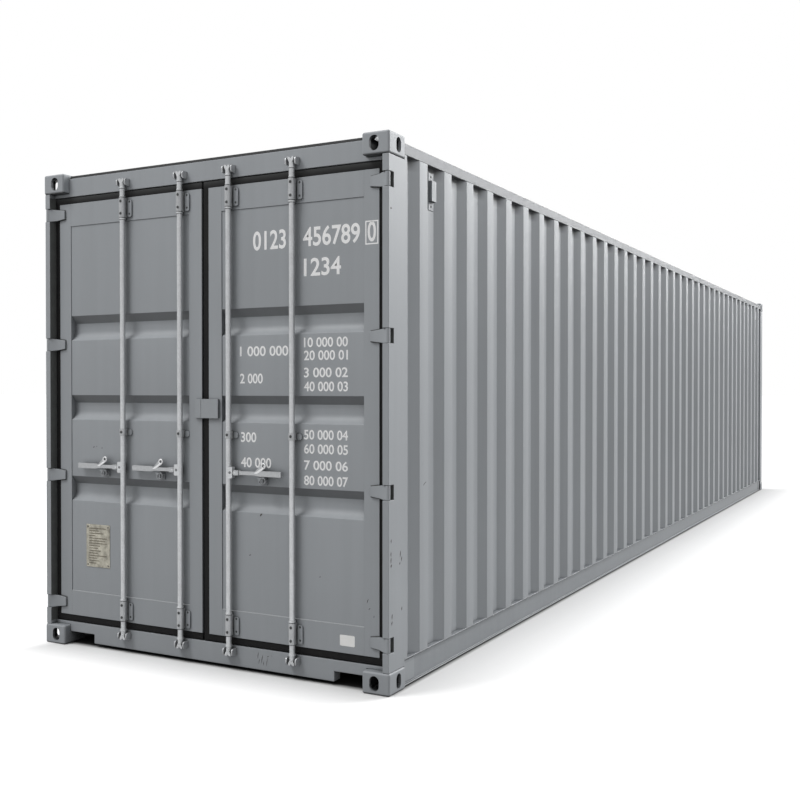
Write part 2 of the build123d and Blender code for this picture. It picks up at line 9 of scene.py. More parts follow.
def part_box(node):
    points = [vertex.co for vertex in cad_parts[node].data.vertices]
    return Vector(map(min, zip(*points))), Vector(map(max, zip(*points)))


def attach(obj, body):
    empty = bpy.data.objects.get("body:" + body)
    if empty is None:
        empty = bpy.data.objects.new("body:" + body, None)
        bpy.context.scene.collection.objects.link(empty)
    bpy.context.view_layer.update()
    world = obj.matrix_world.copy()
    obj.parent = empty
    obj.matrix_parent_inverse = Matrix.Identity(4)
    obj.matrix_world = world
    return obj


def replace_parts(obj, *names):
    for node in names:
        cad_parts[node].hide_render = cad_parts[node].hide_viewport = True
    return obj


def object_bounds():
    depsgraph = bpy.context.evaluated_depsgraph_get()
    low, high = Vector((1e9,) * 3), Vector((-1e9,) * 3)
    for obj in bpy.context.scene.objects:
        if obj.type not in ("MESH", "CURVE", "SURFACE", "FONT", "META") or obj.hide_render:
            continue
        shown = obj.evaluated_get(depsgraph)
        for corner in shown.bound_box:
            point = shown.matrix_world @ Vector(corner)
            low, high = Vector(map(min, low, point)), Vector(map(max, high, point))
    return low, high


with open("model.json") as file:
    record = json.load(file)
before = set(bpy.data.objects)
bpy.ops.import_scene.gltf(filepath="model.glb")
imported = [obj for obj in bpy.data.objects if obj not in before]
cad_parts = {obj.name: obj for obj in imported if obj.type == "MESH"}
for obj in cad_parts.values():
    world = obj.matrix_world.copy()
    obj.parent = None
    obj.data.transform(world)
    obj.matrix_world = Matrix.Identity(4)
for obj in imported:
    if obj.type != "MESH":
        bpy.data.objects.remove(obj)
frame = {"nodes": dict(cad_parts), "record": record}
cad_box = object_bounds()
nodes = frame["nodes"]

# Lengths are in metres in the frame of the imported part: +Z up, doors facing -Y, origin under the middle.

# Picture and camera
picture_size = 800
sensor_width = 36.0
focal_pixels = 1017.8
camera_place = (3.701, -10.641, 1.579)
camera_turn = 28.03
camera_dip = 0.65

# Curve from picture levels to linear light
full_level = 255
curve_start = 0.04045
curve_slope = 12.92
curve_offset = 0.055
curve_power = 2.4

# Colours as red, green and blue levels from 0 to 255
paint_level = (158, 162, 166)
rubber_level = (13, 13, 14)
dust_level = (46, 45, 43)
# painted light on the top of the leaves' gaskets
lip_light_level = (72, 73, 73)
ply_level = (150, 112, 72)
shade_level = (30, 31, 32)
rust_level = (62, 55, 50)
steel_levels = {
    "gear_steel": (200, 202, 204), "worn_steel": (176, 178, 180), "dull_steel": (118, 120, 122),
    "lug_steel": (228, 229, 230)}

# Light: an even dome, a sun behind the right side, a lamp high at the front left, and a strip lamp
# over the right side that shines only forwards, between two leans of its rays along Y
dome_strength = 0.53
sun_direction = (1.0, 1.6, 1.05)
sun_strength = 1.56
sun_angle = 30.0
front_lamp_place = (-5.0, -12.0, 12.0)
front_lamp_target = (0.0, -6.1, 1.4)
front_lamp_size = (5.0, 5.0)
front_lamp_power = 840.0
strip_lamp_place = (3.1, 4.5, 4.1)
strip_lamp_target = (1.2, 4.5, 2.0)
strip_lamp_size = (20.0, 0.6)
strip_lamp_power = 505.0
strip_lean_none = -0.35
strip_lean_full = -0.75

# Floor: its colour as the camera sees it, its colour as it lights the part, its glow in the picture, and a
# painted shadow under the part
floor_size = 400.0
floor_level = (240, 240, 240)
floor_bounce_level = (128, 128, 128)
floor_glow = 0.5
front_glow_span = (-0.10, 0.45)
right_glow_span = (-0.12, 0.85)
left_glow_span = (-0.15, 0.10)
# painted shadow under the part: where it starts in front and at the sides, and how dark
front_shadow_span = (-0.085, -0.030)
side_shadow_span = (-0.03, 0.015)
under_shadow_share = 0.06
floor_noise = (0.5, 2.0)
floor_tones = (0.99, 1.01)
floor_rough = 0.9

# Painted shade in the paint's corners: reach, share open where darkest and where clean, the most, and the
# most painted shade under a piece, on faces that look down; a painted shadow under the rails, and painted
# light on the top of the leaves' gaskets
frame_corner = (0.08, 0.15, 0.72, 0.85, 0.95)
header_corner = (0.08, 0.10, 0.60, 0.60, 0.45)
door_corner = (0.10, 0.15, 0.82, 0.90, 0.95)
casting_corner = (0.25, 0.22, 0.50, 0.97, 0.95)
corner_samples = 8
# painted shade on faces that look down: the heights of their normals where it starts and where it is most
underside_shade_span = (-0.15, -0.80)
# painted shadow under the top rails: its heights, its depth in from the side, and its most
rail_shadow_span = (2.735, 2.795)
rail_shadow_depth = (1.185, 1.212)
rail_shadow_most = 0.9
lip_light_span = (2.720, 2.762)

# Noises: scale, detail and roughness; spans are the parts of a noise that show
noise_detail = 2.0
noise_roughness = 0.5
noise_span = (0.3, 0.7)
no_stretch = (1.0, 1.0, 1.0)

# Paint: tones of its blotches and streaks, chips where it is gone, and its skin
blotch_noise = (1.3, 3.0)
blotch_tones = (0.97, 1.03)
streak_stretch = (16.0, 16.0, 0.6)
streak_noise = (1.0, 3.0)
streak_span = (0.35, 0.75)
streak_tones = (1.02, 0.97)
chip_stretch = (1.0, 1.0, 0.7)
chip_noise = (23.0, 6.0, 0.62)
chip_span = (0.765, 0.785)
chip_levels = (1.7, 0.3)
chip_low_share = 0.05
patch_noise = (1.7, 2.0)
patch_span = (0.50, 0.56)
skin_noise = (160.0, 2.0)
paint_rough = (0.46, 0.58)
paint_bump = (0.08, 0.001)

# Looks of the paints: level, share of chips, painted shade in corners, and whether a painted shadow lies
# under the rails
paint_looks = {
    "frame_paint": (paint_level, 0.80, frame_corner, False),
    "wall_paint": (paint_level, 0.35, frame_corner, True),
    "door_paint": (paint_level, 0.60, door_corner, False),
    "roof_paint": (paint_level, 0.35, frame_corner, False),
    "header_paint": (paint_level, 0.80, header_corner, False),
    "casting_paint": (paint_level, 0.80, casting_corner, False),
    # the rails' paints are darker copies of the same paint: painted shade
    "low_rail_paint": ((146, 150, 154), 0.50, frame_corner, False),
    "rail_paint": ((113, 116, 120), 0.30, frame_corner, False)}

# Galvanised steel: spangles, patches, painted shade in corners, share of metal and skin
spangle_scale = 90.0
spangle_span = (0.0, 0.8)
spangle_tones = (0.93, 1.06)
steel_patch_noise = (14.0, 4.0, 0.6)
steel_patch_tones = (0.93, 1.05)
steel_corner = (0.02, 0.20, 0.80, 0.55)
steel_metal_share = 0.4
steel_noise = (40.0, 3.0)
steel_rough = (0.30, 0.44)
steel_bump = (0.10, 0.001)

# Rubber: dust and grain
dust_stretch = (3.0, 3.0, 0.4)
dust_noise = (9.0, 4.0)
dust_span = (0.4, 0.8)
dust_share = 0.2
rubber_noise = (300.0, 2.0)
rubber_rough = (0.70, 0.85)
rubber_shine = 0.2
rubber_bump = (0.15, 0.001)

# Plywood: grain, and boards of two tones with dark joints
grain_stretch = (30.0, 1.2, 30.0)
grain_noise = (1.0, 6.0, 0.65)
grain_shares = (0.72, 1.15)
board_size = (1.16, 2.4)
board_joint = 0.004
board_tones = (1.0, 0.86, 0.2)
ply_rough = (0.55, 0.80)
ply_bump = (0.20, 0.001)

# Looks of stained coats: level, share of it in the stains, noise, its span, metal, roughness and bump
stain_looks = {
    "underframe_coat": (
        (52, 53, 54), 1.70, (26.0, 5.0, 0.60), (0.35, 0.75), 0.0, (0.60, 0.85), (0.40, 0.002)),
    "plate_brass": (
        (186, 182, 168), 0.72, (24.0, 5.0, 0.65), (0.35, 0.70), 0.5, (0.42, 0.66), (0.08, 0.0005))}

# Looks of small trim: level, spread of its tone, scale of its grain, roughness and share of metal
trim_looks = {
    # painted shade in recesses, and the dark seams of the rail plates
    "recess_coat": ((84, 86, 85), 0.10, 90.0, 0.7, 0.0),
    "bolt_steel": ((58, 59, 60), 0.20, 200.0, 0.5, 0.3),
    "marking_white": ((255, 255, 255), 0.02, 120.0, 0.5, 0.0),
    "sticker_film": ((254, 254, 252), 0.03, 60.0, 0.4, 0.0),
    "rule_ink": (shade_level, 0.20, 100.0, 0.6, 0.0),
    "plate_ink": ((104, 96, 82), 0.25, 100.0, 0.6, 0.0),
    # a painted highlight on the leaves' bottom rails
    "bead_paint": ((186, 189, 192), 0.05, 90.0, 0.5, 0.0),
    "bare_metal": (rust_level, 0.30, 300.0, 0.7, 0.1)}
trim_noise = (18.0, 3.0)
trim_rough_spread = 0.08
trim_bump = (0.10, 0.0005)

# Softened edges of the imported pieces
edge_round = 0.003
leaf_edge_round = 0.0008
edge_segments = 2
edge_angle = 35.0
weld_distance = 0.00002
flat_angle = 0.6
normals_weight = 80

# Corrugated sheets: thickness, bends, and for each sheet its ribs' margin, crest, slope and spacing
sheet = 0.002
bend_radius = 0.006
bend_steps = 3
side_ribs = (0.353, 0.094, 0.068, 0.307)
front_ribs = (0.070, 0.110, 0.022, 0.244)
roof_ribs = (0.090, 0.096, 0.018, 0.228)

# Swages of the door panels
swage_place_shares = (0.2833, 0.505, 0.7213)
swage_height = 0.150
swage_floor = 0.056
swage_ledge = 0.026
swage_curve_top = 0.020
swage_curve_steps = 7

# Faces that small pieces sit on: the leaves' frames, their panels, the frame's sides and the walls' hollows
leaf_face = -6.047
panel_face = -6.043
frame_side = 1.214
wall_hollow = 1.178

# Door gear: bars, brackets, guides and handles
bar_places = {"1": -0.598, "2": -0.164, "3": 0.183, "4": 0.609}
leaf_bars = {"left": ("1", "2"), "right": ("3", "4")}
handle_bars = {"1": -1, "2": -1, "3": 1}
bar_y = -6.073
bar_bore = 0.0160
bracket_spans = ((0.1955, 0.3115), (2.5935, 2.7095))
guide_span = (1.300, 1.340)
sleeve_radius = 0.0205
sleeve_neck = 0.014
flange_reach = 0.055
guide_reach = 0.048
flange_strip = 0.031
flange_inset = 0.012
flange_inset_share = 0.125
flange_low_share = 0.25
flange_round = 0.009
strip_thickness = 0.009
bolt_radius = 0.0058
bolt_rise = 0.0018
washer_radius = 0.0082
washer_rise = 0.0006
bracket_bolt_shift = 0.004
bracket_bolt_inset = 0.022
strip_bolt_radius = 0.0045
bar_radius = 0.0155
bar_span = (0.083, 2.823)
bar_collars = ((0.3145, 0.3255, 0.0195), (2.5800, 2.5905, 0.0195), (2.7130, 2.7220, 0.0175),
               (2.7640, 2.7740, 0.0170))
# dark rings in the gaps by the brackets and collars, painted shade: bottom, top and radius
bar_gap_shades = ((0.3117, 0.3145, 0.0180), (2.5905, 2.5933, 0.0180), (2.5780, 2.5800, 0.0165),
             (2.7097, 2.7130, 0.0170), (2.7615, 2.7640, 0.0160), (0.1920, 0.1953, 0.0170))
foot_bell = ((0.0125, 0.192), (0.0125, 0.178), (0.0145, 0.156), (0.0185, 0.142), (0.0185, 0.134))
collar_edge = 0.0015
cam_outline = ((0.0100, 0.055), (0.0085, 0.040), (0.0090, 0.030), (0.0200, 0.010), (0.0200, 0.0),
               (0.0080, 0.0), (0.0, 0.009))
cam_half = 0.012
keeper_inner = 0.026
keeper_outer = 0.035
keeper_height = 0.042
keeper_reach = 0.043
keeper_round = 0.016
handle_level = 1.110
hub_reach = 0.034
hub_half_height = 0.032
hub_half = 0.014
hub_round = 0.006
tongue_half = 0.006
tongue_radius = 0.014
pivot_reach = 0.050
pivot_radius = 0.006
pivot_half = 0.0122
hub_bolt_reach = 0.018
lug_lean = 0.052
lug_foot = 0.190
lug_hole_level = 1.154
lug_front = -6.080
lug_ring = (0.0125, 0.0040)
lug_half = 0.012
lug_cover = 0.0015
link_level = 1.071
link_lean = 0.051
link_front = -6.083
link_ring = (0.0165, 0.0040)

# Painted shade in the recesses beside the leaves: dark films on the posts' inner faces and in the hinge
# notches
post_inner = 1.176
post_shade_span = (0.139, 2.756)
post_shade_depth = (-6.089, -5.987)
hinge_levels = (0.258, 1.044, 1.849, 2.650)
notch_half = 0.0385
notch_back = -6.037
notch_side = 1.2135

# Painted shade on the leaves round the hinge blades, as dark rims
rim_outer = 1.134
rim_tip = 1.082
rim_half_tip = 0.031
rim_half_root = 0.0375

# Trim on the frame: dark strip on the header, end plates of the bottom rails, vent bolts
header_strip_half = 1.050
header_strip_span = (2.8705, 2.886)
header_strip_depth = (-6.040, -6.020)
header_strip_round_share = 1 / 3
rail_plate_end = -5.782
rail_plate_start = -5.918
rail_plate_span = (0.026, 0.140)
rail_plate_thickness = 0.003
rail_seam = 0.0035
rail_web = 1.198
vent_y = 5.542
vent_bolt_levels = (2.592, 2.756)
vent_plate = 0.004

# Plates, blank sticker and markings on the leaves
rivet_inset = 0.014
rivet_radius = 0.005
rivet_rise = 0.002
rule_inset = 0.024
rule_height = 0.0045
rule_shares = (0.95, 0.55, 0.80, 0.35, 1.0, 0.90, 1.0, 0.62, 0.50, 0.66, 0.48, 1.0, 0.42, 0.58, 0.40)
film = 0.0004
sticker_x = (0.895, 0.986)
sticker_z = (0.219, 0.277)
sticker_round = 0.006
marking_weight = 0.018
code_low = 2.340
code_height = 0.106
size_low = 2.181
size_height = 0.097
row_height = 0.053
label_height = 0.056
number_start = 0.667
number_end = 0.943
code_rows = (("0123", 0.332, 0.551, code_low, code_height), ("456789", 0.662, 1.017, code_low, code_height),
             ("1234", number_start, 0.901, size_low, size_height))
label_rows = ((1.757, "1 000 000", 0.241, 0.566), (1.606, "2 000", 0.241, 0.396),
              (1.280, "300", 0.247, 0.352), (1.140, "40 000", 0.247, 0.452))
number_rows = ((1.800, "10 000 00"), (1.730, "20 000 01"), (1.638, "3 000 02"), (1.563, "40 000 03"),
               (1.304, "50 000 04"), (1.228, "60 000 05"), (1.140, "7 000 06"), (1.058, "80 000 07"))
check_box_x = (1.051, 1.129)
check_box_z = (2.326, 2.450)
check_box_line = 0.007
seal_tab_x = (-0.064, -0.0215)
# painted highlight strip along the leaves' bottom rails
highlight_strip_height = 0.007
highlight_strip_rise = 0.003

# Steps of turned shapes, and the rounding of small pieces
corner_steps = 4
ring_steps = 24
wire_steps = 10
bolt_sides = 6
bolt_chamfer_share = 0.2
rivet_turns = (0.0, 0.5, 1.0, 1.4)
number_steps = 6
sharp_angle = 40.0
gear_round = 0.002
bar_round = 0.001
fine_round = 0.0005
highlight_strip_round = 0.0015

# Small scuffs in the paint: place across, place up, length, width and lean in degrees
flake_shares = (1.0, 0.66, 0.92, 0.58, 1.0, 0.74, 0.62, 0.86)
sill_scuffs = (
    (0.364, 0.100, 0.040, 0.005, 82), (0.372, 0.068, 0.030, 0.004, 75), (0.391, 0.082, 0.052, 0.005, 78),
    (0.402, 0.060, 0.024, 0.004, 85), (0.424, 0.070, 0.044, 0.004, 80), (0.431, 0.102, 0.012, 0.005, 30))
left_panel_scuffs = (
    (-0.861, 1.222, 0.014, 0.007, 30), (-0.795, 1.218, 0.010, 0.006, 0), (-0.838, 1.226, 0.008, 0.005, 60))
right_panel_scuffs = (
    (0.383, 0.880, 0.024, 0.012, 50), (0.308, 0.652, 0.014, 0.006, 30), (0.768, 0.570, 0.012, 0.005, 20))
stile_scuffs = (
    (1.064, 0.470, 0.026, 0.005, 70), (1.075, 0.430, 0.014, 0.005, 40), (1.102, 0.392, 0.014, 0.004, 85))
post_scuffs = (
    (-6.068, 0.728, 0.028, 0.010, 88), (-6.068, 0.696, 0.032, 0.012, 85), (-6.066, 0.668, 0.020, 0.014, 70),
    (-5.966, 0.716, 0.038, 0.010, 80), (-5.952, 0.690, 0.028, 0.010, 75), (-5.972, 0.668, 0.016, 0.009, 60),
    (-6.056, 0.405, 0.032, 0.011, 85), (-6.058, 0.372, 0.022, 0.012, 75), (-5.950, 0.428, 0.022, 0.010, 80),
    (-6.066, 0.795, 0.022, 0.010, 85), (-6.067, 2.500, 0.016, 0.013, 0))
crest_scuffs = ((-5.690, 1.058, 0.022, 0.006, 35), (-5.672, 1.066, 0.018, 0.005, 20))


# Node helpers

def linear(level):
    share = level / full_level
    if share <= curve_start:
        return share / curve_slope
    return ((share + curve_offset) / (1 + curve_offset)) ** curve_power


def colour(levels):
    return tuple(linear(level) for level in levels) + (1.0,)


def grey(tone):
    return (tone, tone, tone, 1.0)


# Levels made lighter or darker
def scaled(levels, share):
    return tuple(min(full_level, level * share) for level in levels)


def add(tree, kind, inputs=None, **settings):
    made = tree.nodes.new("ShaderNode" + kind)
    for name, value in settings.items():
        setattr(made, name, value)
    for name, value in (inputs or {}).items():
        connect(tree, made.inputs[name], value)
    return made


def connect(tree, socket, value):
    if isinstance(value, bpy.types.NodeSocket):
        tree.links.new(value, socket)
    else:
        socket.default_value = value


def by_identifier(sockets, identifier):
    return next(socket for socket in sockets if socket.identifier == identifier)


def mix_colour(tree, factor, first, second, blend="MIX"):
    made = add(tree, "Mix", data_type="RGBA", blend_type=blend)
    connect(tree, by_identifier(made.inputs, "Factor_Float"), factor)
    connect(tree, by_identifier(made.inputs, "A_Color"), first)
    connect(tree, by_identifier(made.inputs, "B_Color"), second)
    return by_identifier(made.outputs, "Result_Color")


def ranged(tree, value, low, high, to_low, to_high):
    made = add(tree, "MapRange", {
        "Value": value, "From Min": low, "From Max": high, "To Min": to_low, "To Max": to_high})
    return made.outputs["Result"]


def maths(tree, operation, first, second):
    made = add(tree, "Math", operation=operation)
    connect(tree, made.inputs[0], first)
    connect(tree, made.inputs[1], second)
    return made.outputs["Value"]


def places(tree, stretch=no_stretch):
    coordinates = add(tree, "TexCoord")
    mapping = add(tree, "Mapping", {"Vector": coordinates.outputs["Object"], "Scale": stretch})
    return mapping.outputs["Vector"]


def place_along(tree, axis):
    return add(tree, "SeparateXYZ", {"Vector": places(tree)}).outputs[axis]


def noise(tree, scale, detail=noise_detail, roughness=noise_roughness, stretch=no_stretch):
    made = add(tree, "TexNoise", {
        "Vector": places(tree, stretch), "Scale": scale, "Detail": detail, "Roughness": roughness})
    return made.outputs["Fac"]


def new_material(name):
    material = bpy.data.materials.new(name)
    material.use_nodes = True
    tree = material.node_tree
    return material, tree, tree.nodes["Principled BSDF"]


# Materials

# A colour made brighter or darker by a factor
def toned(tree, base, factor):
    return add(tree, "HueSaturation", {"Color": base, "Value": factor}).outputs["Color"]


# Share of painted shade in closed corners, where little light reaches
def corner_shade(tree, reach, closed, free, most):
    hidden = add(tree, "AmbientOcclusion", {"Distance": reach}, samples=corner_samples)
    return ranged(tree, hidden.outputs["AO"], closed, free, most, 0.0)


# Painted shadow in the walls' hollows just under the top rails, where the rails' overhang shades them
def rail_shadow(tree):
    high = ranged(tree, place_along(tree, "Z"), *rail_shadow_span, 0.0, rail_shadow_most)
    out = maths(tree, "ABSOLUTE", place_along(tree, "X"), 0.0)
    return maths(tree, "MULTIPLY", high, ranged(tree, out, *rail_shadow_depth, 1.0, 0.0))


# What every material ends with: its colour, and the roughness and bump of its grain
def finish(tree, shader, tone, grain, rough_span, bump):
    strength, reach = bump
    tree.links.new(tone, shader.inputs["Base Color"])
    tree.links.new(ranged(tree, grain, *noise_span, *rough_span), shader.inputs["Roughness"])
    raised = add(tree, "Bump", {"Height": grain, "Strength": strength, "Distance": reach})
    tree.links.new(raised.outputs["Normal"], shader.inputs["Normal"])


# Paint: faint blotches, faint rain streaks, a fine skin, painted shade in corners and on undersides, and a
# few chips
def paint(name, levels, chip_share, corner, rail_shaded):
    material, tree, shader = new_material(name)
    blotch = ranged(tree, noise(tree, *blotch_noise), *noise_span, *blotch_tones)
    rain = noise(tree, *streak_noise, stretch=streak_stretch)
    streak = ranged(tree, rain, *streak_span, *streak_tones)
    tone = toned(tree, colour(levels), maths(tree, "MULTIPLY", blotch, streak))
    # faces that look down are darkened: painted shade
    facing = add(tree, "SeparateXYZ", {"Vector": add(tree, "NewGeometry").outputs["Normal"]})
    *corner_shade_setting, underside_shade_most = corner
    under = ranged(tree, facing.outputs["Z"], *underside_shade_span, 0.0, underside_shade_most)
    dark = maths(tree, "MAXIMUM", corner_shade(tree, *corner_shade_setting), under)
    # a painted shadow under the top rails
    if rail_shaded:
        dark = maths(tree, "MAXIMUM", dark, rail_shadow(tree))
    # the tone darkened towards the shade colour: painted shade
    shaded = mix_colour(tree, dark, tone, colour(shade_level))
    low_zone = ranged(tree, place_along(tree, "Z"), *chip_levels, 0.0, chip_low_share)
    chips = maths(tree, "ADD", noise(tree, *chip_noise, stretch=chip_stretch), low_zone)
    patches = ranged(tree, noise(tree, *patch_noise), *patch_span, 0.0, 1.0)
    bare = maths(tree, "MULTIPLY", ranged(tree, chips, *chip_span, 0.0, chip_share), patches)
    worn = mix_colour(tree, bare, shaded, colour(rust_level))
    finish(tree, shader, worn, noise(tree, *skin_noise), paint_rough, paint_bump)
    return material


# Galvanised steel: spangled cells, dull patches and painted shade in its corners
def galvanised(name, levels):
    material, tree, shader = new_material(name)
    cells = add(tree, "TexVoronoi", {"Vector": places(tree), "Scale": spangle_scale}).outputs["Distance"]
    spangle = ranged(tree, cells, *spangle_span, *spangle_tones)
    patch = ranged(tree, noise(tree, *steel_patch_noise), *noise_span, *steel_patch_tones)
    tone = toned(tree, colour(levels), maths(tree, "MULTIPLY", spangle, patch))
    # the tone darkened towards the shade colour in corners: painted shade
    shaded = mix_colour(tree, corner_shade(tree, *steel_corner), tone, colour(shade_level))
    shader.inputs["Metallic"].default_value = steel_metal_share
    finish(tree, shader, shaded, noise(tree, *steel_noise), steel_rough, steel_bump)
    return material


# Rubber: faint dust, and a lighter band on the top lip, painted light fading into the shade under the header
def rubber(name):
    material, tree, shader = new_material(name)
    dust = ranged(tree, noise(tree, *dust_noise, stretch=dust_stretch), *dust_span, 0.0, dust_share)
    tone = mix_colour(tree, dust, colour(rubber_level), colour(dust_level))
    # lighter towards the top lip: painted light
    lip = ranged(tree, place_along(tree, "Z"), *lip_light_span, 0.0, 1.0)
    dusty_and_lit = mix_colour(tree, lip, tone, colour(lip_light_level))
    shader.inputs["Specular IOR Level"].default_value = rubber_shine
    finish(tree, shader, dusty_and_lit, noise(tree, *rubber_noise), rubber_rough, rubber_bump)
    return material


# Plywood: long grain, boards side by side and dark joints between them
def plywood(name):
    material, tree, shader = new_material(name)
    grain = noise(tree, *grain_noise, stretch=grain_stretch)
    dark, light = (colour(scaled(ply_level, share)) for share in grain_shares)
    wood = mix_colour(tree, ranged(tree, grain, *noise_span, 0.0, 1.0), dark, light)
    width, height = board_size
    first, second, joint = (grey(tone) for tone in board_tones)
    boards = add(tree, "TexBrick", {
        "Vector": places(tree), "Scale": 1.0, "Mortar Size": board_joint, "Brick Width": width,
        "Row Height": height, "Color1": first, "Color2": second, "Mortar": joint})
    tone = mix_colour(tree, 1.0, wood, boards.outputs["Color"], "MULTIPLY")
    finish(tree, shader, tone, grain, ply_rough, ply_bump)
    return material


# Underseal and brass: a coat with stains of a lighter or darker tone
def stained(name, levels, stain_share, stain_noise, stain_span, metal_share, rough_span, bump):
    material, tree, shader = new_material(name)
    stain = noise(tree, *stain_noise)
    mask = ranged(tree, stain, *stain_span, 0.0, 1.0)
    tone = mix_colour(tree, mask, colour(levels), colour(scaled(levels, stain_share)))
    shader.inputs["Metallic"].default_value = metal_share
    finish(tree, shader, tone, stain, rough_span, bump)
    return material


# Small trim: a tone that wanders a little, with a grain in its skin
def trim(name, levels, spread, grain_scale, rough, metal_share):
    material, tree, shader = new_material(name)
    wander = ranged(tree, noise(tree, *trim_noise), *noise_span, 1.0 - spread, 1.0 + spread)
    tone = toned(tree, colour(levels), wander)
    shader.inputs["Metallic"].default_value = metal_share
    rough_span = (rough - trim_rough_spread, rough + trim_rough_spread)
    finish(tree, shader, tone, noise(tree, grain_scale), rough_span, trim_bump)
    return material


materials = {"gasket_rubber": rubber("gasket_rubber"), "floor_ply": plywood("floor_ply")}
for name, look in paint_looks.items():
    materials[name] = paint(name, *look)
for name, levels in steel_levels.items():
    materials[name] = galvanised(name, levels)
for name, look in stain_looks.items():
    materials[name] = stained(name, *look)
for name, look in trim_looks.items():
    materials[name] = trim(name, *look)


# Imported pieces: each keeps its shape, gets softened edges, and takes its slot's material or its own

def round_edges(piece, width):
    bevel = piece.modifiers.new("bevel", "BEVEL")
    bevel.width = width
    bevel.segments = edge_segments
    bevel.limit_method = "ANGLE"
    bevel.angle_limit = math.radians(edge_angle)
    return bevel


def soften(piece, width):
    weld = piece.modifiers.new("weld", "WELD")
    weld.merge_threshold = weld_distance
    flat = piece.modifiers.new("flat", "DECIMATE")
    flat.decimate_type = "DISSOLVE"
    flat.angle_limit = math.radians(flat_angle)
    round_edges(piece, width)
    normals = piece.modifiers.new("normals", "WEIGHTED_NORMAL")
    normals.weight = normals_weight


# New pieces: a mesh that rides on a body and takes its slot's material, or its own where one is named

def new_piece(name, mesh, body, slot_name, own_material=None):
    piece = bpy.data.objects.new(name, mesh)
    bpy.context.scene.collection.objects.link(piece)
    mesh.materials.append(materials[own_material or slot_name])
    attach(piece, body)
    return piece


# A smooth mesh with its faces turned outwards
def mesh_from(name, points, faces):
    mesh = bpy.data.meshes.new(name)
    mesh.from_pydata(points, [], faces)
    outward = bmesh.new()
    outward.from_mesh(mesh)
    bmesh.ops.recalc_face_normals(outward, faces=outward.faces)
    outward.to_mesh(mesh)
    outward.free()
    mesh.shade_smooth()
    mesh.set_sharp_from_angle(angle=math.radians(sharp_angle))
    return mesh


# Corrugated sheets

# Starts of ribs that stand about a spacing apart, the outermost a margin from both ends
def even_starts(low, high, margin, crest, spacing):
    span = high - low - 2 * margin - crest
    gaps = round(span / spacing)
    return [low + margin + index * span / gaps for index in range(gaps + 1)]


# Line of a trapezoid sheet: each point is a place along the sheet and a rise over its hollows
def rib_line(low, high, starts, crest, slope, depth):
    points = [(low, 0)]
    for start in starts:
        points += [(start - slope, 0), (start, depth), (start + crest, depth), (start + crest + slope, 0)]
    return points + [(high, 0)]


# The same line with each corner bent round
def rounded(line):
    points = [Vector(point) for point in line]
    bent = [points[0]]
    for before, corner, after in zip(points, points[1:], points[2:]):
        coming = (corner - before).normalized()
        going = (after - corner).normalized()
        reach = bend_radius * math.tan(coming.angle(going) / 2)
        first = corner - coming * reach
        last = corner + going * reach
        for step in range(bend_steps + 1):
            share = step / bend_steps
            bent.append(first.lerp(corner, share).lerp(corner.lerp(last, share), share))
    return bent + [points[-1]]


# A sheet along a line, between two levels. spot turns a place, a rise and a level into a point.
def sheet_mesh(name, line, levels, spot):
    outer = rounded(line)
    inner = [Vector((place, rise - sheet)) for place, rise in outer]
    count = len(outer)
    points = [spot(place, rise, level) for row in (outer, inner) for level in levels for place, rise in row]
    outer_low, outer_high, inner_low, inner_high = (index * count for index in range(4))
    faces = []
    for index in range(count - 1):
        after = index + 1
        for first, second in ((outer_low, outer_high), (inner_high, inner_low),
                              (inner_low, outer_low), (outer_high, inner_high)):
            faces.append((first + index, first + after, second + after, second + index))
    for end in (0, count - 1):
        faces.append(tuple(row + end for row in (outer_low, outer_high, inner_high, inner_low)))
    return mesh_from(name, points, faces)


# A ribbed sheet in place of a packed one: it fills the span, and its ribs start from the ends
def ribbed_sheet(node, ribs, span, ends, depth, levels, spot, own_material=None):
    margin, crest, slope, spacing = ribs
    starts = even_starts(*ends, margin, crest, spacing)
    line = rib_line(*span, starts, crest, slope, depth)
    mesh = sheet_mesh(node + "_sheet", line, levels, spot)
    piece = new_piece(node + "_sheet", mesh, "container_frame", "wall_paint", own_material)
    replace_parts(piece, node)


def side_wall(side):
    low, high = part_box("side_wall_" + side)
    sign = 1 if side == "right" else -1
    depth = high.x - low.x - sheet
    hollow = max(abs(low.x), abs(high.x)) - depth
    ends = (cad_box[0].y, cad_box[1].y)
    ribbed_sheet("side_wall_" + side, side_ribs, (low.y, high.y), ends, depth, (low.z, high.z),
                 lambda place, rise, level: (sign * (hollow + rise), place, level))


def front_wall():
    low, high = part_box("front_wall")
    depth = high.y - low.y - sheet
    span = (low.x, high.x)
    ribbed_sheet("front_wall", front_ribs, span, span, depth, (low.z, high.z),
                 lambda place, rise, level: (place, high.y - depth + rise, level))


def roof():
    low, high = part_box("roof")
    depth = high.z - low.z - sheet
    span = (low.y, high.y)
    ribbed_sheet("roof", roof_ribs, span, span, depth, (low.x, high.x),
                 lambda place, rise, level: (level, place, high.z - depth + rise), "roof_paint")


# Lower half of a swage: from its lip it runs in as a ledge and bends up to the floor
def swage_curve(centre, depth):
    lip = Vector((centre - swage_height / 2, 0))
    bend = Vector((lip.x + swage_ledge, -depth))
    top = Vector((centre - swage_curve_top, -depth))
    points = []
    for step in range(swage_curve_steps + 1):
        share = step / swage_curve_steps
        points.append(tuple(lip.lerp(bend, share).lerp(bend.lerp(top, share), share)))
    return points


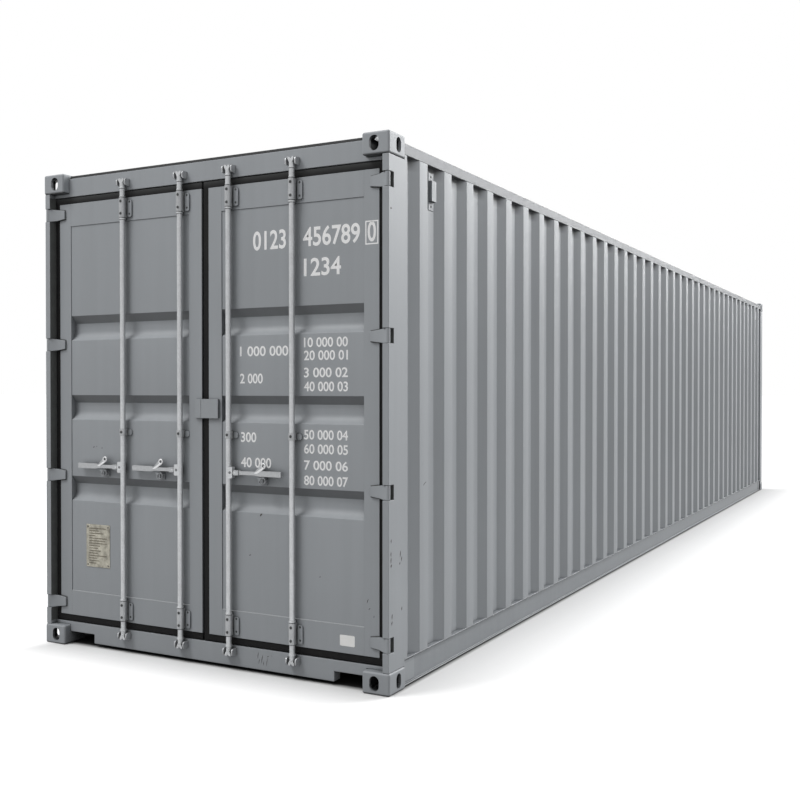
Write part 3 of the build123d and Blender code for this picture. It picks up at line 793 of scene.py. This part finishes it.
def leaf_panel(side):
    node = side + "_leaf_panel"
    low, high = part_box(node)
    depth = high.y - low.y - sheet
    line = [(low.z, 0)]
    for share in swage_place_shares:
        centre = low.z + share * (high.z - low.z)
        line += swage_curve(centre, depth)
        line += [(centre + swage_floor / 2, -depth), (centre + swage_height / 2, 0)]
    line += [(high.z, 0)]
    mesh = sheet_mesh(
        node + "_sheet", line, (low.x, high.x), lambda place, rise, level: (level, low.y - rise, place))
    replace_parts(new_piece(node + "_sheet", mesh, side + "_door", "door_paint"), node)


for side in ("left", "right"):
    side_wall(side)
    leaf_panel(side)
front_wall()
roof()

own_materials = {
    "top_side_rail_left": "rail_paint", "top_side_rail_right": "rail_paint",
    "bottom_side_rail_left": "low_rail_paint", "bottom_side_rail_right": "low_rail_paint",
    "door_header": "header_paint",
    "top_corner_castings": "casting_paint", "bottom_corner_castings": "casting_paint",
    "bar_handle_1": "worn_steel", "bar_handle_2": "worn_steel", "bar_handle_3": "worn_steel",
    "left_leaf_handle_retainers": "door_paint", "right_leaf_handle_retainers": "door_paint"}
leaf_frames = ("left_leaf_stiles", "left_leaf_rails", "right_leaf_stiles", "right_leaf_rails")
node_slots = {row["node"]: row["material_slot"] for row in frame["record"]["subparts"]}
for name, piece in nodes.items():
    slot_name = node_slots[name]
    piece.data.materials.clear()
    piece.data.materials.append(materials[own_materials.get(name, slot_name)])
    soften(piece, leaf_edge_round if name in leaf_frames else edge_round)


# Makers of small shapes. Each gives points and faces, and spot turns two places and a level into a point.

# An upright shape: places are X and Y from a line
def upright(x, y):
    return lambda across, back, level: (x + across, y + back, level)


# A shape on a face that looks to the front: places are X and Z, and the level stands out of the face
def on_front(face, x=0.0, z=0.0):
    return lambda across, up, level: (x + across, face - level, z + up)


# A shape on a face that looks to a side: places are Y and Z, and the level stands out of the face
def on_side(sign, face):
    return lambda across, up, level: (sign * (face + level), across, up)


def circle(radius, steps, across=0.0, up=0.0):
    turns = [2 * math.pi * step / steps for step in range(steps)]
    return [(across + radius * math.cos(turn), up + radius * math.sin(turn)) for turn in turns]


def box_outline(low_a, high_a, low_b, high_b):
    return [(low_a, low_b), (high_a, low_b), (high_a, high_b), (low_a, high_b)]


# A box outline with each corner rounded
def round_outline(low_a, high_a, low_b, high_b, radius):
    corners = ((high_a - radius, high_b - radius, 0), (low_a + radius, high_b - radius, 1),
               (low_a + radius, low_b + radius, 2), (high_a - radius, low_b + radius, 3))
    points = []
    for centre_a, centre_b, quarter in corners:
        for step in range(corner_steps + 1):
            turn = math.pi / 2 * (quarter + step / corner_steps)
            points.append((centre_a + radius * math.cos(turn), centre_b + radius * math.sin(turn)))
    return points


# A plate between two levels: the first loop is its outline, the others are holes
def plate(loops, low, high, spot):
    fill = bmesh.new()
    rings = []
    for loop in loops:
        ring = [fill.verts.new((first, second, 0)) for first, second in loop]
        pairs = list(zip(ring, ring[1:] + ring[:1]))
        for pair in pairs:
            fill.edges.new(pair)
        rings.append(pairs)
    bmesh.ops.triangle_fill(fill, edges=fill.edges[:], use_beauty=True)
    fill.verts.index_update()
    count = len(fill.verts)
    points = [spot(vert.co.x, vert.co.y, level) for level in (low, high) for vert in fill.verts]
    faces = []
    for face in fill.faces:
        corners = [vert.index for vert in face.verts]
        faces += [corners, [corner + count for corner in corners]]
    for first, second in (pair for pairs in rings for pair in pairs):
        faces.append((first.index, second.index, second.index + count, first.index + count))
    fill.free()
    return points, faces


# A plate that lies on a face, as thin as a film if nothing else is said
def coat(outline, spot, rise=film):
    return plate([outline], 0, rise, spot)


# A turned shape: profile points are a radius and a level
def turned(profile, steps, spot, across=0.0, up=0.0):
    points = []
    for radius, level in profile:
        points += [spot(first, second, level) for first, second in circle(radius, steps, across, up)]
    faces = [tuple(range(steps)), tuple(range(len(points) - steps, len(points)))]
    for row in range(len(profile) - 1):
        for step in range(steps):
            after = (step + 1) % steps
            faces.append(tuple(row * steps + index for index in (step, after, after + steps, step + steps)))
    return points, faces


# A ring of round wire, flat on a face
def wire_ring(sizes, spot, across=0.0, up=0.0):
    radius, wire = sizes
    points = []
    for outer in range(ring_steps):
        turn = 2 * math.pi * outer / ring_steps
        for first, level in circle(wire, wire_steps):
            reach = radius + first
            points.append(spot(across + reach * math.cos(turn), up + reach * math.sin(turn), level))
    faces = []
    for outer in range(ring_steps):
        for inner in range(wire_steps):
            here = (outer * wire_steps, (outer + 1) % ring_steps * wire_steps)
            after = (inner + 1) % wire_steps
            faces.append((here[0] + inner, here[0] + after, here[1] + after, here[1] + inner))
    return points, faces


# A bolt: a washer under a six-sided head with a turned-down top
def bolt(spot, across, up, radius):
    scale = radius / bolt_radius
    washer = [(washer_radius * scale, 0), (washer_radius * scale, washer_rise)]
    chamfer = radius * bolt_chamfer_share
    head = [(radius, washer_rise), (radius, bolt_rise - chamfer), (radius - chamfer, bolt_rise)]
    return [turned(washer, ring_steps, spot, across, up), turned(head, bolt_sides, spot, across, up)]


# A rivet with a domed head
def rivet(spot, across, up):
    dome = [(rivet_radius * math.cos(turn), rivet_rise * math.sin(turn)) for turn in rivet_turns]
    return turned(dome, ring_steps, spot, across, up)


# An uneven flake of bare metal
def flake(spot, across, up, length, width, lean):
    cosine = math.cos(math.radians(lean))
    sine = math.sin(math.radians(lean))
    outline = []
    for (first, second), share in zip(circle(1, len(flake_shares)), flake_shares):
        along = first * length / 2 * share
        over = second * width / 2 * share
        outline.append((across + along * cosine - over * sine, up + along * sine + over * cosine))
    return coat(outline, spot)


def mesh_of(name, shapes):
    points = []
    faces = []
    for shape_points, shape_faces in shapes:
        faces += [[index + len(points) for index in face] for face in shape_faces]
        points += shape_points
    return mesh_from(name, points, faces)


def small_piece(name, shapes, body, slot_name, own_material=None, round_width=0.0):
    piece = new_piece(name, mesh_of(name, shapes), body, slot_name, own_material)
    if round_width:
        round_edges(piece, round_width).harden_normals = True
    return piece


# Bar brackets: a round sleeve on a neck, and a bolted strip beside it
def bracket_shapes(bar_x, low, high, seat, reach):
    spot = upright(bar_x, bar_y)
    back = seat - bar_y
    sleeve = [circle(sleeve_radius, ring_steps), circle(bar_bore, ring_steps)]
    neck = box_outline(-sleeve_neck, sleeve_neck, bar_bore, back)
    inset = min(flange_inset, (high - low) * flange_inset_share)
    strip_low = low + inset * flange_low_share
    strip = round_outline(reach - flange_strip, reach, strip_low, high - inset, flange_round)
    strip_shape = coat(strip, on_front(seat, bar_x), strip_thickness)
    return [plate(sleeve, low, high, spot), plate([neck], low, high, spot)], strip_shape


def bracket_gear(side):
    steel = []
    strips = []
    bolts = []
    for bar in leaf_bars[side]:
        bar_x = bar_places[bar]
        front = on_front(bar_y - sleeve_radius, bar_x)
        strip_x = flange_reach - flange_strip / 2
        strip_front = on_front(leaf_face - strip_thickness, bar_x)
        for low, high in bracket_spans:
            sleeve, strip = bracket_shapes(bar_x, low, high, leaf_face, flange_reach)
            steel += sleeve
            strips.append(strip)
            for level in (low + bracket_bolt_inset, high - bracket_bolt_inset):
                bolts += bolt(front, bracket_bolt_shift, level, bolt_radius)
                bolts += bolt(strip_front, strip_x, level, strip_bolt_radius)
        low, high = guide_span
        middle = (low + high) / 2
        sleeve, strip = bracket_shapes(bar_x, low, high, panel_face, guide_reach)
        steel += sleeve
        strips.append(strip)
        bolts += bolt(front, bracket_bolt_shift, middle, bolt_radius)
    piece = small_piece(side + "_bracket_gear", steel, side + "_door", "gear_steel", "worn_steel", gear_round)
    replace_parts(piece, side + "_leaf_bar_brackets")
    small_piece(side + "_bracket_strips", strips, side + "_door", "door_paint", round_width=gear_round)
    small_piece(side + "_bracket_bolts", bolts, side + "_door", "gear_steel", "bolt_steel", fine_round)


# Locking bars: a round bar with collars and forked cam heads, and a hub where a handle hangs on it
def cam_head(bar_x, end, turn):
    right = [(reach, end + turn * drop) for reach, drop in cam_outline]
    outline = right + [(-reach, level) for reach, level in reversed(right[:-1])]
    return plate([outline], -cam_half, cam_half, on_front(bar_y, bar_x))


def bar_hub(bar_x, sign):
    spot = on_front(bar_y, bar_x, handle_level)
    ends = sorted((0, sign * hub_reach))
    block = round_outline(*ends, -hub_half_height, hub_half_height, hub_round)
    tongue_ends = sorted((0, sign * pivot_reach))
    tongue = box_outline(*tongue_ends, -tongue_radius, tongue_radius)
    eye = circle(tongue_radius, ring_steps, sign * pivot_reach)
    pivot = circle(pivot_radius, ring_steps, sign * pivot_reach)
    return [plate([block], -hub_half, hub_half, spot), plate([tongue], -tongue_half, tongue_half, spot),
            plate([eye], -tongue_half, tongue_half, spot), plate([pivot], -pivot_half, pivot_half, spot)]


def locking_bar(bar):
    bar_x = bar_places[bar]
    spot = upright(bar_x, bar_y)
    low, high = bar_span
    cam_height = cam_outline[0][1]
    ends = (low + cam_height / 2, high - cam_height / 2)
    shapes = [turned([(bar_radius, ends[0]), (bar_radius, ends[1])], ring_steps, spot)]
    for bottom, top, radius in bar_collars:
        inner = radius - collar_edge
        ring = [(inner, bottom), (radius, bottom + collar_edge), (radius, top - collar_edge), (inner, top)]
        shapes.append(turned(ring, ring_steps, spot))
    shapes.append(turned(foot_bell, ring_steps, spot))
    shapes += [cam_head(bar_x, low, 1), cam_head(bar_x, high, -1)]
    if bar in handle_bars:
        shapes += bar_hub(bar_x, handle_bars[bar])
    piece = small_piece("bar_gear_" + bar, shapes, "bar_" + bar, "gear_steel", round_width=bar_round)
    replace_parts(piece, "locking_bar_" + bar)
    # dark rings in the gaps by the brackets and collars: painted shade
    rings = [turned([(radius, bottom), (radius, top)], ring_steps, spot) for bottom, top, radius in bar_gap_shades]
    small_piece("bar_gap_shades_" + bar, rings, "bar_" + bar, "gear_steel", "bolt_steel")


# Cam keepers: a pair of rounded ears beside each cam head
def keepers():
    low, high = bar_span
    shapes = []
    for bar_x in bar_places.values():
        for bottom in (low, high - keeper_height):
            for side in (-1, 1):
                ends = sorted((side * keeper_inner, side * keeper_outer))
                front = leaf_face - keeper_reach
                back = leaf_face + keeper_round
                outline = round_outline(front, back, bottom, bottom + keeper_height, keeper_round)
                ear = [(min(y, leaf_face), z) for y, z in outline]
                shapes.append(plate([ear], bar_x + ends[0], bar_x + ends[1], lambda y, z, x: (x, y, z)))
    piece = small_piece("keeper_ears", shapes, "container_frame", "gear_steel", "worn_steel", gear_round)
    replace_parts(piece, "cam_keepers")


# Handle trim: a bolt on each hub, a cover and a ring on each lug, and a link in each retainer's loop
def handle_trim(bar):
    bar_x = bar_places[bar]
    sign = handle_bars[bar]
    hub = on_front(bar_y - hub_half, bar_x, handle_level)
    hub_bolt = bolt(hub, sign * hub_bolt_reach, 0, bolt_radius)
    small_piece("hub_bolt_" + bar, hub_bolt, "bar_" + bar, "gear_steel", "dull_steel", fine_round)
    lug_x = bar_x + sign * lug_foot + lug_lean
    ring = wire_ring(lug_ring, on_front(lug_front, lug_x, lug_hole_level))
    small_piece("lug_ring_" + bar, [ring], "handle_" + bar, "gear_steel", "lug_steel")
    foot_x = bar_x + sign * lug_foot
    top = lug_hole_level - lug_ring[0]
    cover = [(foot_x - lug_half, handle_level), (foot_x + lug_half, handle_level), (lug_x + lug_half, top),
             (lug_x - lug_half, top)]
    shape = coat(cover, on_front(lug_front), lug_cover)
    small_piece("lug_cover_" + bar, [shape], "handle_" + bar, "gear_steel", "lug_steel", fine_round)
    link_x = bar_x + sign * lug_foot + link_lean
    side = "left" if sign < 0 else "right"
    link = wire_ring(link_ring, on_front(link_front, link_x, link_level))
    small_piece("retainer_link_" + bar, [link], side + "_door", "gear_steel", "dull_steel")


# Recess shade films: thin dark films, painted shade on the posts' inner faces, between the hinges, and in the
# hinge notches
def recess_shade_films():
    front, back = post_shade_depth
    low, high = post_shade_span
    lows = (low,) + tuple(level + notch_half for level in hinge_levels)
    highs = tuple(level - notch_half for level in hinge_levels) + (high,)
    shapes = []
    for sign in (-1, 1):
        inward = on_side(sign, post_inner - film)
        for bottom, top in zip(lows, highs):
            shapes.append(coat(box_outline(front, back, bottom, top), inward))
        ends = sorted((sign * post_inner, sign * notch_side))
        for level in hinge_levels:
            outline = box_outline(*ends, level - notch_half, level + notch_half)
            shapes.append(coat(outline, on_front(notch_back)))
    small_piece("recess_shade_films", shapes, "container_frame", "frame_paint", "recess_coat")


# Hinge shade rims: a thin dark film on each leaf, painted shade showing a little round each hinge blade
def hinge_shade_rims(side):
    sign = -1 if side == "left" else 1
    shapes = []
    for level in hinge_levels:
        outline = [(sign * rim_tip, level - rim_half_tip), (sign * rim_outer, level - rim_half_root),
                   (sign * rim_outer, level + rim_half_root), (sign * rim_tip, level + rim_half_tip)]
        shapes.append(coat(outline, on_front(leaf_face)))
    small_piece(side + "_hinge_shade_rims", shapes, side + "_door", "door_paint", "recess_coat")


# Frame trim
def header_strip():
    low, high = header_strip_span
    front, back = header_strip_depth
    radius = (high - low) * header_strip_round_share
    outline = round_outline(-header_strip_half, header_strip_half, low, high, radius)
    shape = coat(outline, on_front(back), back - front)
    small_piece("header_dark_strip", [shape], "container_frame", "gasket_rubber", "rule_ink")


# End plates of the bottom rails, each with a dark seam along its inner end
def rail_plates():
    low, high = rail_plate_span
    plates = []
    seams = []
    for sign in (-1, 1):
        spot = on_side(sign, rail_web)
        for end in (-1, 1):
            ends = sorted((end * rail_plate_start, end * rail_plate_end))
            plates.append(coat(box_outline(*ends, low, high), spot, rail_plate_thickness))
            seam = sorted((end * rail_plate_end, end * (rail_plate_end + rail_seam)))
            seams.append(coat(box_outline(*seam, low, high), spot))
    small_piece("rail_end_plates", plates, "container_frame", "frame_paint", round_width=bar_round)
    small_piece("rail_seams", seams, "container_frame", "frame_paint", "recess_coat")


def vent_bolts():
    bolts = []
    for sign in (-1, 1):
        for end in (-1, 1):
            spot = on_side(sign, wall_hollow + vent_plate)
            for level in vent_bolt_levels:
                bolts += bolt(spot, end * vent_y, level, bolt_radius)
    small_piece("vent_bolts", bolts, "container_frame", "wall_paint", "bolt_steel", fine_round)


# Plate trim on the left leaf: rivets and ruled lines
def data_plate_trim():
    near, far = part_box("left_leaf_data_plate")
    left, right, low, high = near.x, far.x, near.z, far.z
    spot = on_front(near.y)
    rivets = []
    for x in (left + rivet_inset, right - rivet_inset):
        rivets += [rivet(spot, x, z) for z in (low + rivet_inset, high - rivet_inset)]
    small_piece("data_plate_rivets", rivets, "left_door", "plate_brass", "bolt_steel")
    rules = []
    span = high - low - 2 * rule_inset
    for index, share in enumerate(rule_shares):
        level = high - rule_inset - span * index / (len(rule_shares) - 1)
        end = left + rule_inset + (right - left - 2 * rule_inset) * share
        outline = box_outline(left + rule_inset, end, level - rule_height / 2, level + rule_height / 2)
        rules.append(coat(outline, spot))
    small_piece("data_plate_rules", rules, "left_door", "plate_brass", "plate_ink")


# Seal tab on the left leaf, beside the right leaf's seal plate, as high as it and as far out
def seal_tab():
    low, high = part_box("right_leaf_seal_plate")
    outline = box_outline(*seal_tab_x, low.z, high.z)
    shape = coat(outline, on_front(leaf_face), leaf_face - low.y)
    small_piece("seal_tab", [shape], "left_door", "door_paint", round_width=bar_round)


# A pale strip along the top of each leaf's bottom rail, a painted highlight where the rail's edge catches the
# light
def rail_highlight_strip(side):
    low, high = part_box(side + "_leaf_panel")
    outline = box_outline(low.x, high.x, low.z, low.z + highlight_strip_height)
    shape = coat(outline, on_front(panel_face), highlight_strip_rise)
    small_piece(side + "_rail_highlight_strip", [shape], side + "_door", "door_paint", "bead_paint", highlight_strip_round)


# Blank sticker on the right leaf
def sticker():
    outline = round_outline(*sticker_x, *sticker_z, sticker_round)
    shape = coat(outline, on_front(leaf_face))
    small_piece("blank_sticker", [shape], "right_door", "door_paint", "sticker_film")


# Markings: plain numbers, each stretched to its place
def number_shape(words, start, end, low, height, face):
    data = bpy.data.curves.new("number", "FONT")
    data.body = words
    data.offset = marking_weight
    data.resolution_u = number_steps
    data.extrude = film
    writer = bpy.data.objects.new("number", data)
    bpy.context.scene.collection.objects.link(writer)
    seen = bpy.context.evaluated_depsgraph_get()
    mesh = bpy.data.meshes.new_from_object(writer.evaluated_get(seen))
    weld = bmesh.new()
    weld.from_mesh(mesh)
    bmesh.ops.remove_doubles(weld, verts=weld.verts, dist=weld_distance)
    weld.to_mesh(mesh)
    weld.free()
    solid = [tuple(vert.co) for vert in mesh.vertices]
    faces = [tuple(face.vertices) for face in mesh.polygons]
    bpy.data.objects.remove(writer)
    bpy.data.curves.remove(data)
    bpy.data.meshes.remove(mesh)
    left, right = min(point[0] for point in solid), max(point[0] for point in solid)
    bottom, top = min(point[1] for point in solid), max(point[1] for point in solid)
    wide = (end - start) / (right - left)
    tall = height / (top - bottom)
    points = [(start + (across - left) * wide, face - (film if level > 0 else 0), low + (up - bottom) * tall)
              for across, up, level in solid]
    return points, faces


def markings():
    shapes = [number_shape(*row, panel_face) for row in code_rows]
    shapes += [number_shape(words, start, end, low, label_height, panel_face)
               for low, words, start, end in label_rows]
    shapes += [number_shape(words, number_start, number_end, low, row_height, panel_face)
               for low, words in number_rows]
    left, right = check_box_x
    low, high = check_box_z
    line = check_box_line
    inset = 2 * line
    shapes.append(number_shape("0", left + inset, right - inset, code_low, code_height, leaf_face))
    hole = box_outline(left + line, right - line, low + line, high - line)
    shapes.append(plate([box_outline(left, right, low, high), hole], 0, film, on_front(leaf_face)))
    small_piece("door_numbers", shapes, "right_door", "door_paint", "marking_white")


# Scuffs: small flakes where the paint is gone
def scuffs():
    sill_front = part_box("door_sill")[0].y
    panel = on_front(panel_face)
    side = on_side(1, frame_side)
    groups = (("sill_scuffs", "container_frame", "frame_paint", on_front(sill_front), sill_scuffs),
              ("left_leaf_scuffs", "left_door", "door_paint", panel, left_panel_scuffs),
              ("right_leaf_scuffs", "right_door", "door_paint", panel, right_panel_scuffs),
              ("right_stile_scuffs", "right_door", "door_paint", on_front(leaf_face), stile_scuffs),
              ("wall_scuffs", "container_frame", "wall_paint", side, crest_scuffs),
              ("post_scuffs", "container_frame", "frame_paint", side, post_scuffs))
    for name, body, slot_name, spot, rows in groups:
        small_piece(name, [flake(spot, *row) for row in rows], body, slot_name, "bare_metal")


for side in ("left", "right"):
    bracket_gear(side)
    hinge_shade_rims(side)
    rail_highlight_strip(side)
for bar in bar_places:
    locking_bar(bar)
for bar in handle_bars:
    handle_trim(bar)
keepers()
recess_shade_films()
header_strip()
rail_plates()
vent_bolts()
data_plate_trim()
seal_tab()
sticker()
markings()
scuffs()


# Stage: floor, light and camera

def make_floor():
    mesh = bpy.data.meshes.new("floor_plane")
    half = floor_size / 2
    corners = [(-half, -half, 0), (half, -half, 0), (half, half, 0), (-half, half, 0)]
    mesh.from_pydata(corners, [], [(0, 1, 2, 3)])
    floor = bpy.data.objects.new("floor_plane", mesh)
    bpy.context.scene.collection.objects.link(floor)
    mesh.materials.append(pale_floor())


# The floor is pale in the picture, lights the part from below as a grey floor does,
# and glows a little in the picture, less towards the part, so that shadows stay and a soft painted shade lies
# beside it;
# under the part it is painted darker, a painted shadow
def pale_floor():
    material, tree, shader = new_material("pale_floor")
    path = add(tree, "LightPath")
    seen = maths(tree, "MAXIMUM", path.outputs["Is Camera Ray"], path.outputs["Is Glossy Ray"])
    tint = ranged(tree, noise(tree, *floor_noise), *noise_span, *floor_tones)
    tone = mix_colour(tree, seen, colour(floor_bounce_level), colour(floor_level))
    shader.inputs["Roughness"].default_value = floor_rough
    shader.inputs["Specular IOR Level"].default_value = 0.0
    shader.inputs["Emission Color"].default_value = grey(1.0)
    across = place_along(tree, "X")
    right = maths(tree, "SUBTRACT", across, cad_box[1].x)
    left = maths(tree, "SUBTRACT", cad_box[0].x, across)
    ahead = maths(tree, "SUBTRACT", maths(tree, "ABSOLUTE", place_along(tree, "Y"), 0.0), cad_box[1].y)
    beside = maths(tree, "MAXIMUM", right, left)
    # darker under the part: painted shadow
    unshadowed_floor = maths(tree, "MAXIMUM", ranged(tree, ahead, *front_shadow_span, under_shadow_share, 1.0),
                       ranged(tree, beside, *side_shadow_span, under_shadow_share, 1.0))
    tinted = toned(tree, tone, maths(tree, "MULTIPLY", tint, unshadowed_floor))
    tree.links.new(tinted, shader.inputs["Base Color"])
    fades = []
    # the glow fades towards the part: it keeps the shadows, and beside the part it paints a soft shade
    for away, (start, end) in ((ahead, front_glow_span), (right, right_glow_span), (left, left_glow_span)):
        fade = add(tree, "MapRange", {
            "Value": away, "From Min": start, "From Max": end, "To Max": floor_glow},
            interpolation_type="SMOOTHSTEP")
        fades.append(fade.outputs["Result"])
    glow = maths(tree, "MAXIMUM", fades[0], maths(tree, "MAXIMUM", fades[1], fades[2]))
    kept_glow = maths(tree, "MULTIPLY", glow, unshadowed_floor)
    tree.links.new(maths(tree, "MULTIPLY", seen, kept_glow), shader.inputs["Emission Strength"])
    return material


def make_sky():
    world = bpy.data.worlds.new("sky")
    bpy.context.scene.world = world
    world.use_nodes = True
    tree = world.node_tree
    background = tree.nodes["Background"]
    background.inputs["Color"].default_value = grey(1.0)
    path = add(tree, "LightPath")
    mirrored = maths(tree, "MAXIMUM", path.outputs["Is Glossy Ray"], path.outputs["Is Transmission Ray"])
    seen = maths(tree, "MAXIMUM", path.outputs["Is Camera Ray"], mirrored)
    tree.links.new(ranged(tree, seen, 0.0, 1.0, dome_strength, 1.0), background.inputs["Strength"])


def place_lamp(name, data, place, target):
    lamp = bpy.data.objects.new(name, data)
    bpy.context.scene.collection.objects.link(lamp)
    lamp.location = place
    aim = (Vector(target) - Vector(place)).normalized()
    lamp.rotation_euler = aim.to_track_quat("-Z", "Y").to_euler()
    lamp.visible_camera = False
    return lamp


def make_area_lamp(name, place, target, size, power):
    data = bpy.data.lights.new(name, "AREA")
    data.shape = "RECTANGLE"
    data.size, data.size_y = size
    data.energy = power
    return place_lamp(name, data, place, target)


def make_strip_lamp():
    lamp = make_area_lamp(
        "strip_lamp", strip_lamp_place, strip_lamp_target, strip_lamp_size, strip_lamp_power)
    aim = (Vector(strip_lamp_target) - Vector(strip_lamp_place)).normalized()
    along = Vector((0, 1, 0))
    lamp.rotation_euler = Matrix((along, (-aim).cross(along), -aim)).transposed().to_euler()
    lamp.data.use_nodes = True
    tree = lamp.data.node_tree
    ray = add(tree, "NewGeometry").outputs["Incoming"]
    lean = add(tree, "SeparateXYZ", {"Vector": ray}).outputs["Y"]
    strength = ranged(tree, lean, strip_lean_none, strip_lean_full, 0.0, 1.0)
    tree.links.new(strength, tree.nodes["Emission"].inputs["Strength"])


def make_sun():
    data = bpy.data.lights.new("sun", "SUN")
    data.energy = sun_strength
    data.angle = math.radians(sun_angle)
    place_lamp("sun", data, sun_direction, (0, 0, 0))


def make_camera():
    data = bpy.data.cameras.new("camera")
    data.sensor_width = sensor_width
    data.lens = focal_pixels * sensor_width / picture_size
    camera = bpy.data.objects.new("camera", data)
    bpy.context.scene.collection.objects.link(camera)
    camera.location = camera_place
    camera.rotation_euler = (math.pi / 2 - math.radians(camera_dip), 0, math.radians(camera_turn))
    bpy.context.scene.camera = camera


make_floor()
make_sky()
make_sun()
make_area_lamp("front_lamp", front_lamp_place, front_lamp_target, front_lamp_size, front_lamp_power)
make_strip_lamp()
make_camera()
bpy.context.scene.view_settings.view_transform = "Standard"
